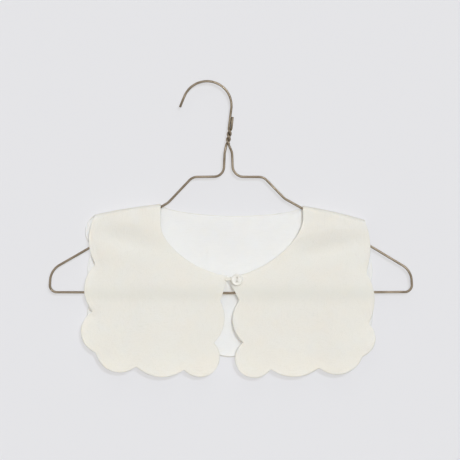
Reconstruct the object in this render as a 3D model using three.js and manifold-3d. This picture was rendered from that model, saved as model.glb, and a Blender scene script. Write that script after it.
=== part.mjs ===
// A scalloped collar, buttoned at the front, hanging on a plain wire hanger.
// Millimetres, +Z up, and the front faces -Y. The origin is the underside of the hook's top.
import * as THREE from "three";
import { mergeVertices } from "three/addons/utils/BufferGeometryUtils.js";
import Module from "manifold-3d";

// Hanger
const wireDiameter = 2.4;
const wireSides = 8;
const hangerWidth = 361; // between the wire's middles at the two ends
const hangerHeight = 210.6; // from the rail down to the middle of the bar
const hookRadius = 24.5;
const hookTipRun = 11.5; // the straight end of the hook
const hookEndAngle = 158; // degrees round the hook, from the shaft's side
const shaftLean = 6.5; // degrees off plumb
const shaftSet = 0.7; // the hook's outer side stands this far right of the hanger's middle
const twistDrop = 46; // from the rail down to the twisted neck
const twistLength = 16.5;
const twistHalfTurns = 3;
const twistGap = 0.15; // between the two strands
const stubLength = 11.5;
const bendRadius = 10;

// Collar
const collarWidth = 272; // between the valleys of the two sides' scallops
const collarShift = -0.8; // the collar's middle from the hanger's middle
const neckWidth = 142;
const frontDrop = 164; // from the fold at the neck to the valleys of the front hem
const backDrop = 143;
const backNeckDrop = 10.5;
const shoulderFall = 12.4; // from the fold at the neck to the fold's outer end
const shoulderCrown = 1.2; // how far the fold bows up between them
const scallopDepth = 9;
const neckPower = 1.6; // how square the front neckline's curve is
const backNeckPower = 1.8;
const clothWall = 1.2;
const liningWall = 1.0;
const layerGap = 0.3; // between the back panel and its lining
const liningTrim = 0.12; // how far the lining ends short of the fold, in scallops
const liningInset = 0.004; // and of the back's edges, as a share of its width
const fitGap = 0.3; // between pieces that touch
const clothEase = 2.0; // air between the wire and the cloth
const foldHeight = 4.5; // of the rounded fold over the shoulders

// Closure
const buttonDiameter = 12;
const buttonThickness = 2.2;
const buttonDish = 0.6;
const buttonRim = 1.6;
const buttonInset = 8.5; // the button's middle from the right front's corner
const buttonBelow = 3;
const holeDiameter = 1.7;
const holeSpacing = 3.6;
const threadDiameter = 0.9;
const loopDiameter = 1.2;
const loopOverlap = 2.4; // of the loop's sewn end on the left front
const loopSpread = 0.6; // from the loop's middle line to each end, as a share of its cord's diameter

// Each bend of the wire, from the left strand of the neck round to the right strand. across is a
// share of half the hanger's width, down of its height, and bend of the usual bend radius.
const wireBends = [
  { across: -0.034, down: 0.335, bend: 1.6 },
  { across: -0.04, down: 0.447, bend: 1.0 },
  { across: -0.212, down: 0.449, bend: 1.1 },
  { across: -0.348, down: 0.572, bend: 1.6 },
  { across: -0.997, down: 0.891, bend: 2.1 },
  { across: -1.005, down: 0.996, bend: 0.7 },
  { across: 0, down: 1.0, bend: 6 },
  { across: 1.006, down: 0.995, bend: 0.7 },
  { across: 0.998, down: 0.893, bend: 2.1 },
  { across: 0.771, down: 0.776, bend: 4 },
  { across: 0.298, down: 0.552, bend: 1.6 },
  { across: 0.181, down: 0.449, bend: 1.1 },
  { across: 0.012, down: 0.448, bend: 1.1 },
  { across: 0.007, down: 0.333, bend: 1.2 },
];
const leftArm = [3, 4];
const rightArm = [10, 9];
const neckTopAcross = -0.004; // the twisted pair's top and foot, as the bends' across
const neckFootAcross = -0.018;

// The valleys between the scallops of each front, from the shoulder down the side, along the hem and
// up the middle. out is a share of half the collar's width, down of the front's drop, and bulge, of
// the scallop after the valley, of the scallop depth. The first valley lies on the fold.
const leftValleys = [
  { out: 0.989, bulge: 0.8 },
  { out: 0.989, down: 0.36, bulge: 1.1 },
  { out: 1.008, down: 0.646, bulge: 1.5 },
  { out: 0.985, down: 0.897, bulge: 1.4 },
  { out: 0.689, down: 0.98, bulge: 1.0 },
  { out: 0.338, down: 1.002, bulge: 2.35 },
  { out: 0.118, down: 0.836, bulge: 0.85 },
  { out: 0.074, down: 0.577, bulge: 0.1 },
  { out: 0.018, down: 0.425, bulge: 0 },
];
const rightValleys = [
  { out: 0.989, bulge: 0.55 },
  { out: 1.0, down: 0.41, bulge: 0.8 },
  { out: 1.017, down: 0.72, bulge: 1.1 },
  { out: 0.974, down: 0.919, bulge: 1.35 },
  { out: 0.654, down: 0.989, bulge: 0.95 },
  { out: 0.3, down: 0.997, bulge: 2.6 },
  { out: 0.098, down: 0.833, bulge: 1.0 },
  { out: 0.071, down: 0.577, bulge: 0.1 },
  { out: -0.011, down: 0.434, bulge: 0 },
];
// One half of the back, from the shoulder to the scallop at the middle of its hem. down is a share
// of the back's drop.
const backValleys = [
  { out: 0.989, bulge: 0.95 },
  { out: 1.0, down: 0.295, bulge: 0.75 },
  { out: 1.0, down: 0.613, bulge: 0.8 },
  { out: 1.0, down: 0.914, bulge: 1.3 },
  { out: 0.853, down: 1.0, bulge: 1.0 },
  { out: 0.512, down: 1.0, bulge: 1.0 },
  { out: 0.171, down: 1.0, bulge: 1.0 },
];
// Each shoulder: neck, the neck corner, as a share of half the neck's width, fall of the shoulder's
// fall, and straight, the neckline's plumb stretch, of its depth.
const shoulders = {
  left: { side: -1, neck: 0.975, fall: 0.85, straight: 0.3, valleys: leftValleys, arm: leftArm },
  right: { side: 1, neck: 1.024, fall: 1.15, straight: 0.19, valleys: rightValleys, arm: rightArm },
};
// Dents and folds: out, down, wide and tall as above, push, outwards, as a share of the ease, and
// slant, how steeply the fold falls outwards.
const frontFolds = [
  { side: -1, out: 0.7, down: 0.17, wide: 0.26, tall: 0.045, push: -0.45, slant: -0.19 },
  { side: 1, out: 0.7, down: 0.2, wide: 0.24, tall: 0.045, push: -0.45, slant: -0.2 },
  { side: -1, out: 0.5, down: 0.98, wide: 0.2, tall: 0.3, push: 0.9, slant: 0 },
  { side: 1, out: 0.85, down: 0.9, wide: 0.16, tall: 0.3, push: 1.1, slant: 0 },
  { side: 1, out: 0.35, down: 1.0, wide: 0.16, tall: 0.22, push: 0.8, slant: 0 },
  { side: -1, out: 0.95, down: 0.8, wide: 0.14, tall: 0.3, push: 0.8, slant: 0 },
];
const backFolds = [
  { side: -1, out: 0.6, down: 0.8, wide: 0.2, tall: 0.3, push: 0.9, slant: 0 },
  { side: 1, out: 0.25, down: 0.85, wide: 0.2, tall: 0.3, push: 0.7, slant: 0 },
  { side: 1, out: 0.8, down: 0.8, wide: 0.16, tall: 0.3, push: 0.9, slant: 0 },
];
const barCrease = { tall: 0.03, push: 0.2 }; // the bar presses both layers out along its length

// Steps of the meshes
const backRows = 6;
const frontSteps = 6; // on each scallop of the fronts
const backSteps = 5;
const cornerSteps = 5; // on each half of the scallop at a front's inner corner
const topSteps = 3; // on the short scallop below the button
const foldSteps = 8; // on the scallop that starts at the fold
const foldPacking = 1.8; // how close those steps lie at the fold
const sideEnd = 2.3; // where the collar's side starts to turn into its hem, in scallops
const hemStart = 4;
const bowPower = 1.5; // how near the edge the fronts' columns turn
const bendStep = 0.3; // radians

const wireRadius = wireDiameter / 2;
const halfHanger = hangerWidth / 2;
const halfCollar = collarWidth / 2;
const hangerMiddle = hookRadius - shaftSet;
const collarMiddle = hangerMiddle + collarShift;
const frontDepth = wireRadius + fitGap + clothEase + clothWall / 2;
const backDepth = wireRadius + fitGap + clothEase + liningWall + layerGap + clothWall / 2;

const wasm = await Module();
wasm.setup();

// Materials
function finish(color, roughness, metalness = 0) {
  return new THREE.MeshStandardMaterial({ color, roughness, metalness });
}
const creamCloth = finish(0xe9e4d6, 0.9);
const whiteCloth = finish(0xf2f1ee, 0.9);
const bronzeWire = finish(0x8a7c66, 0.4, 0.9);
const pearlButton = finish(0xeeeae0, 0.35);
const creamThread = finish(0xe2dccb, 0.8);

// A curve through chosen points, with one ring of a swept section at each point.
class Route extends THREE.Curve {
  constructor(points) {
    super();
    this.points = points;
  }
  getPoint(share, target = new THREE.Vector3()) {
    const last = this.points.length - 1;
    const place = Math.min(Math.max(share, 0), 1) * last;
    const before = Math.min(Math.floor(place), last - 1);
    return target.lerpVectors(this.points[before], this.points[before + 1], place - before);
  }
  getPointAt(share, target) {
    return this.getPoint(share, target);
  }
  getTangentAt(share, target = new THREE.Vector3()) {
    const last = this.points.length - 1;
    const at = Math.round(share * last);
    const here = this.points[at];
    target.set(0, 0, 0);
    if (at > 0) target.add(here.clone().sub(this.points[at - 1]).normalize());
    if (at < last) target.add(this.points[at + 1].clone().sub(here).normalize());
    return target.normalize();
  }
}

function sweep(points, radius, sides) {
  const section = new THREE.Shape();
  for (let side = 0; side < sides; side++) {
    const angle = (2 * Math.PI * side) / sides;
    const corner = [radius * Math.cos(angle), radius * Math.sin(angle)];
    if (side) section.lineTo(...corner);
    else section.moveTo(...corner);
  }
  return new THREE.ExtrudeGeometry(section, {
    steps: points.length - 1,
    extrudePath: new Route(points),
  });
}

// The corners joined by straight runs, with an arc of the corner's radius at each.
function rounded(corners) {
  const points = [];
  corners.forEach(({ at, radius }, index) => {
    const before = corners[index - 1];
    const after = corners[index + 1];
    if (!before || !after || !radius) {
      points.push(at.clone());
      return;
    }
    const arriving = at.clone().sub(before.at);
    const leaving = after.at.clone().sub(at);
    const room = 0.45 * Math.min(arriving.length(), leaving.length());
    arriving.normalize();
    leaving.normalize();
    const turn = arriving.angleTo(leaving);
    const reach = Math.min(radius * Math.tan(turn / 2), room);
    const arcRadius = reach / Math.tan(turn / 2);
    const inward = leaving.clone().addScaledVector(arriving, -Math.cos(turn)).normalize();
    const start = at.clone().addScaledVector(arriving, -reach);
    const steps = Math.max(1, Math.ceil(turn / bendStep));
    for (let step = 0; step <= steps; step++) {
      const angle = (turn * step) / steps;
      const point = start.clone().addScaledVector(arriving, arcRadius * Math.sin(angle));
      points.push(point.addScaledVector(inward, arcRadius * (1 - Math.cos(angle))));
    }
  });
  return points;
}

// The hanger's places in its own plane, y = 0.
function onHanger(across, down) {
  return new THREE.Vector3(hangerMiddle + across * halfHanger, 0, -down * hangerHeight);
}

function hookPoints() {
  const middle = new THREE.Vector3(0, 0, wireRadius - hookRadius);
  const first = THREE.MathUtils.degToRad(hookEndAngle);
  const last = THREE.MathUtils.degToRad(-shaftLean);
  const steps = Math.ceil((first - last) / (bendStep / 2));
  const points = [];
  for (let step = 0; step <= steps; step++) {
    const angle = first + ((last - first) * step) / steps;
    const spoke = new THREE.Vector3(Math.cos(angle), 0, Math.sin(angle));
    points.push(middle.clone().addScaledVector(spoke, hookRadius));
  }
  const along = new THREE.Vector3(-Math.sin(first), 0, Math.cos(first));
  return [points[0].clone().addScaledVector(along, hookTipRun), ...points];
}

// One strand of the twisted neck, from its top down. phase 0 starts on the left, and half a turn
// on the right.
function twistPoints(phase) {
  const top = new THREE.Vector3(hangerMiddle + neckTopAcross * halfHanger, 0, -twistDrop);
  const foot = top.clone();
  foot.x = hangerMiddle + neckFootAcross * halfHanger;
  foot.z -= twistLength;
  const reach = (wireDiameter + twistGap) / 2;
  const steps = 6 * twistHalfTurns;
  const points = [];
  for (let step = 0; step <= steps; step++) {
    const angle = Math.PI * (phase + (twistHalfTurns * step) / steps);
    const point = top.clone().lerp(foot, step / steps);
    point.x -= reach * Math.cos(angle);
    point.y -= reach * Math.sin(angle);
    points.push(point);
  }
  return points;
}

// One wire: down the hook and the neck, round the right end, along the bar, round the left end and
// up the neck to its cut end beside the shaft.
function makeHanger() {
  const corners = wireBends.map(({ across, down, bend }) => ({
    at: onHanger(across, down),
    radius: bend * bendRadius,
  }));
  const shaftStrand = twistPoints(0);
  const cutStrand = twistPoints(1).reverse();
  const stub = cutStrand[cutStrand.length - 1].clone();
  stub.x += stubLength * Math.sin(THREE.MathUtils.degToRad(shaftLean));
  stub.z += stubLength;
  const loop = [
    { at: shaftStrand[shaftStrand.length - 1] },
    ...corners.reverse(),
    { at: cutStrand[0] },
  ];
  const route = [
    ...hookPoints(),
    ...shaftStrand.slice(0, -1),
    ...rounded(loop),
    ...cutStrand.slice(1),
    stub,
  ];
  return sweep(route, wireRadius, wireSides);
}

// Where an arm's middle runs, and how steep it is, above a place x.
function armAt(arm, x) {
  const [first, second] = arm.map((index) => onHanger(wireBends[index].across, wireBends[index].down));
  const slope = (second.z - first.z) / (second.x - first.x);
  return { z: first.z + slope * (x - first.x), slope };
}

// The fold's middle surface over a shoulder's neck corner lies on the arm with the fit gap.
function neckCorner({ side, neck, arm }) {
  const x = collarMiddle + (side * neck * neckWidth) / 2;
  const { z, slope } = armAt(arm, x);
  const above = (wireRadius + fitGap + clothWall / 2) * Math.hypot(1, slope);
  return { x, z: z + above };
}
const leftNeck = neckCorner(shoulders.left);
const rightNeck = neckCorner(shoulders.right);
const collarTop = (leftNeck.z + rightNeck.z) / 2;

// The fold's line over both shoulders and, between them, where it would run.
function foldLine(x) {
  if (x > leftNeck.x && x < rightNeck.x) {
    return THREE.MathUtils.mapLinear(x, leftNeck.x, rightNeck.x, leftNeck.z, rightNeck.z);
  }
  const onLeft = x <= leftNeck.x;
  const neck = onLeft ? leftNeck : rightNeck;
  const { side, valleys, fall } = onLeft ? shoulders.left : shoulders.right;
  const way = (x - neck.x) / (collarMiddle + side * valleys[0].out * halfCollar - neck.x);
  const crown = 4 * shoulderCrown * Math.max(0, way * (1 - way));
  return neck.z - fall * shoulderFall * way + crown;
}

// A layer of cloth hangs from the fold, in front of the wire or behind it.
function makeLayer(facing, depth, drop, folds) {
  return { facing, depth, drop, folds, foldArc: (Math.PI / 4) * (depth + foldHeight) };
}
const frontLayer = makeLayer(-1, frontDepth, frontDrop, frontFolds);
const backLayer = makeLayer(1, backDepth, backDrop, backFolds);

function bell(distance, width) {
  return Math.exp(-((distance / width) ** 2));
}

// How far the cloth swells out of its plumb plane.
function swell(layer, x, z) {
  const bar = -hangerHeight;
  let push = barCrease.push * bell(z - bar, barCrease.tall * frontDrop);
  for (const fold of layer.folds) {
    const across = x - (collarMiddle + fold.side * fold.out * halfCollar);
    const up = z - (collarTop - fold.down * layer.drop) + fold.side * fold.slant * across;
    push += fold.push * bell(across, fold.wide * halfCollar) * bell(up, fold.tall * layer.drop);
  }
  return push * clothEase;
}

// A place on the cloth is x and run, the way down the cloth from the fold.
function bendCloth(layer, { x, run }) {
  const turn = (Math.PI / 2) * Math.min(run / layer.foldArc, 1);
  const drop = foldHeight * (1 - Math.cos(turn)) + Math.max(0, run - layer.foldArc);
  const z = foldLine(x) - drop;
  const loose = THREE.MathUtils.smoothstep(run, layer.foldArc / 2, 3 * layer.foldArc);
  const out = layer.depth * Math.sin(turn) + swell(layer, x, z) * loose;
  return new THREE.Vector3(x, layer.facing * out, z);
}

// The same place lifted off the cloth's middle surface, outwards.
function liftCloth(layer, place, lift) {
  const nudge = 0.05;
  const point = bendCloth(layer, place);
  const across = bendCloth(layer, { x: place.x + nudge, run: place.run }).sub(point);
  const along = bendCloth(layer, { x: place.x, run: place.run + nudge }).sub(point);
  const normal = across.cross(along).multiplyScalar(layer.facing).normalize();
  return point.addScaledVector(normal, lift);
}

// From a height below the collar's top to a place on the cloth.
function placeOn(layer, x, down) {
  const drop = Math.max(0, foldLine(x) - (collarTop - down));
  if (drop > foldHeight) return { x, run: layer.foldArc + drop - foldHeight };
  const turn = Math.acos(1 - drop / foldHeight);
  return { x, run: Math.max((layer.foldArc * turn) / (Math.PI / 2), fitGap / 2) };
}

function mixPlaces(a, b, share) {
  return { x: a.x + (b.x - a.x) * share, run: a.run + (b.run - a.run) * share };
}

// The edge through the valleys, a round scallop from each to the next. turn is the side that
// the scallops bulge to.
function scallopEdge(layer, valleys, turn) {
  return (count) => {
    const index = Math.min(Math.floor(count), valleys.length - 2);
    const from = valleys[index];
    const to = valleys[index + 1];
    const share = count - index;
    const run = new THREE.Vector2(to.x - from.x, to.down - from.down);
    const outward = new THREE.Vector2(turn * run.y, -turn * run.x).normalize();
    const point = new THREE.Vector2(from.x, from.down).addScaledVector(run, share);
    if (from.bulge > 0.01) {
      const half = 2 * Math.atan2(from.bulge, run.length() / 2);
      const radius = run.length() / 2 / Math.sin(half);
      const angle = (2 * share - 1) * half;
      point.set((from.x + to.x) / 2, (from.down + to.down) / 2);
      point.addScaledVector(run.normalize(), radius * Math.sin(angle));
      point.addScaledVector(outward, radius * (Math.cos(angle) - Math.cos(half)));
    }
    return placeOn(layer, point.x, point.y);
  };
}

// The way out of the collar at a count along its edge: across at its side and down along its hem.
function wayOut(side, count) {
  const turn = (Math.PI / 2) * THREE.MathUtils.smoothstep(count, sideEnd, hemStart);
  return { x: side * Math.cos(turn), run: Math.sin(turn) };
}

// A place on the curve from the neckline to the edge that arrives along the way out, if one is
// given, or else on a straight line.
function columnPlace(from, to, way, down) {
  const place = mixPlaces(from, to, down);
  if (!way) return place;
  const length = Math.hypot(to.x - from.x, to.run - from.run);
  const bow = down ** bowPower * (1 - down);
  place.x += bow * (to.x - from.x - length * way.x);
  place.run += bow * (to.run - from.run - length * way.run);
  return place;
}

// A four-sided patch of cloth between its neckline, its outer edge and its two ends.
function patch(neckline, edge, start, end, ways = []) {
  const columns = neckline.length - 1;
  const rows = start.length - 1;
  return neckline.map((inner, i) => {
    const across = i / columns;
    return start.map((_, j) => {
      const down = j / rows;
      const place = columnPlace(inner, edge[i], ways[i], down);
      const first = columnPlace(neckline[0], edge[0], ways[0], down);
      const last = columnPlace(neckline[columns], edge[columns], ways[columns], down);
      place.x += (1 - across) * (start[j].x - first.x) + across * (end[j].x - last.x);
      place.run += (1 - across) * (start[j].run - first.run) + across * (end[j].run - last.run);
      return place;
    });
  });
}

// A closed wall of cloth over a patch.
function clothWallGeometry(layer, grid, middle, thickness) {
  const columns = grid.length;
  const rows = grid[0].length;
  const positions = [];
  for (const lift of [middle + thickness / 2, middle - thickness / 2]) {
    for (const column of grid) {
      for (const place of column) positions.push(...liftCloth(layer, place, lift).toArray());
    }
  }
  const at = (face, i, j) => (face * columns + i) * rows + j;
  const index = [];
  const quad = (a, b, c, d) => index.push(a, b, c, a, c, d);
  for (let i = 0; i < columns - 1; i++) {
    for (let j = 0; j < rows - 1; j++) {
      quad(at(0, i, j), at(0, i, j + 1), at(0, i + 1, j + 1), at(0, i + 1, j));
      quad(at(1, i, j), at(1, i + 1, j), at(1, i + 1, j + 1), at(1, i, j + 1));
    }
    quad(at(0, i, 0), at(0, i + 1, 0), at(1, i + 1, 0), at(1, i, 0));
    quad(at(0, i + 1, rows - 1), at(0, i, rows - 1), at(1, i, rows - 1), at(1, i + 1, rows - 1));
  }
  for (let j = 0; j < rows - 1; j++) {
    quad(at(0, 0, j + 1), at(0, 0, j), at(1, 0, j), at(1, 0, j + 1));
    const last = columns - 1;
    quad(at(0, last, j), at(0, last, j + 1), at(1, last, j + 1), at(1, last, j));
  }
  return facingOut(positions, index);
}

// The mesh with its faces turned outwards.
function facingOut(positions, index) {
  const geometry = new THREE.BufferGeometry();
  geometry.setAttribute("position", new THREE.Float32BufferAttribute(positions, 3));
  const [a, b, c] = [new THREE.Vector3(), new THREE.Vector3(), new THREE.Vector3()];
  let volume = 0;
  for (let i = 0; i < index.length; i += 3) {
    a.fromArray(positions, 3 * index[i]);
    b.fromArray(positions, 3 * index[i + 1]);
    c.fromArray(positions, 3 * index[i + 2]);
    volume += a.dot(b.cross(c));
  }
  geometry.setIndex(volume < 0 ? [...index].reverse() : index);
  return geometry;
}

// The front neckline: plumb from the fold, then a squared quarter ellipse to the corner.
function frontNeckline(layer, shoulder, corner) {
  const top = shoulder.side < 0 ? leftNeck : rightNeck;
  const depth = corner.down - (collarTop - top.z);
  const straight = shoulder.straight * depth;
  const start = collarTop - top.z;
  const length = straight + Math.hypot(corner.x - top.x, depth - straight);
  return (share) => {
    const way = share * length;
    if (way < straight) return placeOn(layer, top.x, start + way);
    const angle = (Math.PI / 2) * ((way - straight) / (length - straight));
    const x = corner.x + (top.x - corner.x) * Math.cos(angle) ** (2 / neckPower);
    const fall = (depth - straight) * Math.sin(angle) ** (2 / neckPower);
    return placeOn(layer, x, start + straight + fall);
  };
}

// The valleys' places: x, and down from the collar's top.
function valleysOf(rows, side, drop) {
  return rows.map(({ out, down, bulge }) => {
    const x = collarMiddle + side * out * halfCollar;
    const onFold = down === undefined;
    return { x, down: onFold ? collarTop - foldLine(x) : down * drop, bulge: bulge * scallopDepth };
  });
}

// Counts from first to last in so many steps, without the last.
function between(first, last, steps) {
  return Array.from({ length: steps }, (_, step) => first + ((last - first) * step) / steps);
}

// Counts along an edge of scallops, close together where it starts at the fold.
function foldCounts() {
  return between(0, 1, foldSteps).map((share) => share ** foldPacking);
}

function makeFront(shoulder) {
  const { side, valleys } = shoulder;
  const stations = valleysOf(valleys, side, frontDrop);
  const edge = scallopEdge(frontLayer, stations, side);
  const last = valleys.length - 1;
  const lastHem = last - 3; // the valley before the scallop at the hem's inner corner
  const cornerCount = lastHem + 0.5;
  const neckline = frontNeckline(frontLayer, shoulder, stations[last]);
  const counts = [
    ...foldCounts(),
    ...between(1, lastHem, frontSteps * (lastHem - 1)),
    ...between(lastHem, cornerCount, cornerSteps),
    cornerCount,
  ];
  const upwards = [
    ...between(last, last - 1, topSteps),
    ...between(last - 1, last - 2, frontSteps),
    ...between(last - 2, cornerCount, cornerSteps),
    cornerCount,
  ];
  const inner = counts.map((count) => neckline(count / cornerCount));
  const outer = counts.map(edge);
  const opening = upwards.map(edge);
  const fold = opening.map((_, row) => mixPlaces(inner[0], outer[0], row / (opening.length - 1)));
  const ways = counts.map((count) => wayOut(side, count));
  const grid = patch(inner, outer, fold, opening, ways);
  return clothWallGeometry(frontLayer, grid, 0, clothWall);
}

// The back neckline, a shallow squared half ellipse from fold to fold.
function backNeckline(share) {
  const angle = Math.PI * share;
  const middle = (leftNeck.x + rightNeck.x) / 2;
  const half = (rightNeck.x - leftNeck.x) / 2;
  const out = Math.abs(Math.cos(angle)) ** (2 / backNeckPower);
  const x = middle - Math.sign(Math.cos(angle)) * half * out;
  const fall = backNeckDrop * Math.sin(angle) ** (2 / backNeckPower);
  return placeOn(backLayer, x, collarTop - foldLine(x) + fall);
}

function backStations() {
  const leftHalf = valleysOf(backValleys, -1, backDrop);
  const rightHalf = valleysOf(backValleys, 1, backDrop).reverse();
  // Mirrored, a scallop follows the valley at its other end.
  rightHalf.forEach((valley, index) => {
    valley.bulge = index < rightHalf.length - 1 ? rightHalf[index + 1].bulge : 0;
  });
  return [...leftHalf, ...rightHalf];
}

// The back panel's patch. trim keeps that many scallop counts clear of each fold, and inset that
// share of the width clear of the neckline and the edge.
function backGrid(trim, inset) {
  const stations = backStations();
  const total = stations.length - 1;
  const edge = scallopEdge(backLayer, stations, -1);
  const fold = foldCounts();
  const counts = [
    ...fold,
    ...between(1, total - 1, backSteps * (total - 2)),
    total - 1,
    ...fold.slice(1).reverse().map((count) => total - count),
    total,
  ];
  const kept = counts.map((count) => trim + (count * (total - 2 * trim)) / total);
  const inner = kept.map((count) => backNeckline(count / total));
  const outer = kept.map(edge);
  const shares = Array.from({ length: backRows + 1 }, (_, row) => row / backRows);
  const start = shares.map((share) => mixPlaces(inner[0], outer[0], share));
  const end = shares.map((share) => mixPlaces(inner[inner.length - 1], outer[outer.length - 1], share));
  const grid = patch(inner, outer, start, end);
  return grid.map((column) => {
    const first = mixPlaces(column[0], column[1], inset * backRows);
    const last = mixPlaces(column[backRows], column[backRows - 1], inset * backRows);
    return [first, ...column.slice(1, -1), last];
  });
}

function makeBack() {
  return clothWallGeometry(backLayer, backGrid(0, 0), 0, clothWall);
}

function makeBackLining() {
  const middle = -(clothWall / 2 + layerGap + liningWall / 2);
  const grid = backGrid(liningTrim, liningInset);
  return clothWallGeometry(backLayer, grid, middle, liningWall);
}

// The face of the front at a place below the collar's top.
function frontFace(x, down) {
  return liftCloth(frontLayer, placeOn(frontLayer, x, down), clothWall / 2).y;
}

// Where the closure sits. The loop lies on both fronts and the button on the loop.
function closurePlace() {
  const end = rightValleys[rightValleys.length - 1];
  const x = collarMiddle + end.out * halfCollar + buttonInset;
  const down = end.down * frontDrop + buttonBelow;
  const leftEnd = leftValleys[leftValleys.length - 1];
  const loopStart = collarMiddle - leftEnd.out * halfCollar - loopOverlap;
  const reach = buttonDiameter / 2;
  const faces = [loopStart, x - reach, x, x + reach].flatMap((px) => [
    frontFace(px, down),
    frontFace(px, down + reach),
  ]);
  const face = Math.min(...faces);
  return { x, z: collarTop - down, face, loopReach: x - loopStart };
}
const closure = closurePlace();
const loopPlane = closure.face - fitGap - loopDiameter / 2;
const buttonBack = closure.face - 2 * fitGap - loopDiameter;

function solidFrom(geometry) {
  geometry.deleteAttribute("normal");
  geometry.deleteAttribute("uv");
  const merged = mergeVertices(geometry, 1e-4);
  const triVerts = new Uint32Array(merged.index.array);
  const vertProperties = new Float32Array(merged.attributes.position.array);
  return new wasm.Manifold(new wasm.Mesh({ numProp: 3, vertProperties, triVerts }));
}

function geometryFrom(solid) {
  const { vertProperties, triVerts } = solid.getMesh();
  const geometry = new THREE.BufferGeometry();
  geometry.setAttribute("position", new THREE.BufferAttribute(vertProperties, 3));
  geometry.setIndex(new THREE.BufferAttribute(triVerts, 1));
  return geometry;
}

// A dished disc with a raised rim, turned so that its face looks along -Y, and its two holes.
function makeButton() {
  const radius = buttonDiameter / 2;
  const edge = buttonThickness / 4;
  const profile = [
    [0, 0],
    [radius - edge, 0],
    [radius, edge],
    [radius, buttonThickness - edge],
    [radius - edge, buttonThickness],
    [radius - buttonRim + edge, buttonThickness],
    [radius - buttonRim, buttonThickness - buttonDish],
    [0, buttonThickness - buttonDish],
  ].map(([r, h]) => new THREE.Vector2(r, h));
  let button = solidFrom(new THREE.LatheGeometry(profile, 32).rotateX(Math.PI));
  for (const up of [-1, 1]) {
    const drill = new THREE.CylinderGeometry(holeDiameter / 2, holeDiameter / 2, 3 * buttonThickness, 12);
    drill.translate(0, 0, (up * holeSpacing) / 2);
    button = button.subtract(solidFrom(drill));
  }
  return geometryFrom(button).translate(closure.x, buttonBack, closure.z);
}

// The thread, a staple through both holes whose legs hold the button off the cloth.
function makeThread() {
  const half = holeSpacing / 2;
  const foot = closure.face - fitGap;
  const crown = buttonBack - buttonThickness + buttonDish - fitGap - threadDiameter / 2;
  const corner = (y, up, radius) => ({
    at: new THREE.Vector3(closure.x, y, closure.z + up * half),
    radius,
  });
  const route = rounded([
    corner(foot, 1),
    corner(crown, 1, threadDiameter),
    corner(crown, -1, threadDiameter),
    corner(foot, -1),
  ]);
  return sweep(route, threadDiameter / 2, 6);
}

// The loop, from the left front's corner round the thread's legs and back.
function makeLoop() {
  const radius = (holeSpacing + threadDiameter + loopDiameter) / 2 + fitGap;
  const touch = Math.acos(radius / closure.loopReach);
  const apart = loopSpread * loopDiameter;
  const middle = new THREE.Vector3(closure.x, loopPlane, closure.z);
  const first = Math.PI - touch;
  const steps = Math.ceil((2 * first) / bendStep);
  const points = [new THREE.Vector3(middle.x - closure.loopReach, loopPlane, middle.z + apart)];
  for (let step = 0; step <= steps; step++) {
    const angle = first - (2 * first * step) / steps;
    const spoke = new THREE.Vector3(Math.cos(angle), 0, Math.sin(angle));
    points.push(middle.clone().addScaledVector(spoke, radius));
  }
  points.push(new THREE.Vector3(middle.x - closure.loopReach, loopPlane, middle.z - apart));
  return sweep(points, loopDiameter / 2, 8);
}

function piece(name, geometry, material) {
  const mesh = new THREE.Mesh(geometry, material);
  mesh.name = name;
  return mesh;
}

const cloth = new THREE.Group();
cloth.add(piece("front_left", makeFront(shoulders.left), creamCloth));
cloth.add(piece("front_right", makeFront(shoulders.right), creamCloth));
cloth.add(piece("back", makeBack(), creamCloth));
cloth.add(piece("back_lining", makeBackLining(), whiteCloth));

const fastening = new THREE.Group();
fastening.add(piece("button", makeButton(), pearlButton));
fastening.add(piece("button_thread", makeThread(), creamThread));
fastening.add(piece("button_loop", makeLoop(), creamThread));

const collar = new THREE.Group();
collar.add(piece("hanger", makeHanger(), bronzeWire), cloth, fastening);

export default collar;
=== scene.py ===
from math import acos, atan2, ceil, cos, exp, hypot, pi, radians, sin, tan

import bmesh
import bpy
from mathutils import Matrix, Vector, kdtree, noise


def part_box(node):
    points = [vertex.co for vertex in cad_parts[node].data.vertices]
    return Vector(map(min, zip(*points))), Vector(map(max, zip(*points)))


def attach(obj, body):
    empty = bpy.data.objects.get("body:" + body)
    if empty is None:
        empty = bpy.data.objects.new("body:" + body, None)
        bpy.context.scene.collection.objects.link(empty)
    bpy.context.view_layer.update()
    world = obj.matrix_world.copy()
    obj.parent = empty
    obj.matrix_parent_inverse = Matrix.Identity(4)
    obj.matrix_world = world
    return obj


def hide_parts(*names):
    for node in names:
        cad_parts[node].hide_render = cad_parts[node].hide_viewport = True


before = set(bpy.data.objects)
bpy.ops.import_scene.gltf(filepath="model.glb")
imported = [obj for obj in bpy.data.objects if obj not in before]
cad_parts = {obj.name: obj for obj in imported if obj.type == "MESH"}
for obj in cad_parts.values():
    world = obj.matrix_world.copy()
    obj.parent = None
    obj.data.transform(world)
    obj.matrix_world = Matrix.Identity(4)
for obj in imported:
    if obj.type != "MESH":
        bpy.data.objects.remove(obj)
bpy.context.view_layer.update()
print("frame loaded with", len(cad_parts), "nodes")

mm = 0.001  # the tables below are in millimetres


def smooth(value, low, high):
    share = min(max((value - low) / (high - low), 0), 1)
    return share * share * (3 - 2 * share)


def between(first, last, steps):  # from first to last in so many steps, without the last
    return [first + (last - first) * step / steps for step in range(steps)]


def addObject(name, data):
    added = bpy.data.objects.new(name, data)
    bpy.context.scene.collection.objects.link(added)
    return added


def meshOf(bm, name):  # the bmesh as a mesh, and done with
    mesh = bpy.data.meshes.new(name)
    bm.to_mesh(mesh)
    bm.free()
    return mesh


def shapedMesh(piece):  # a mesh with the modifiers or the curve worked in
    return bpy.data.meshes.new_from_object(piece.evaluated_get(bpy.context.evaluated_depsgraph_get()))


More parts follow.
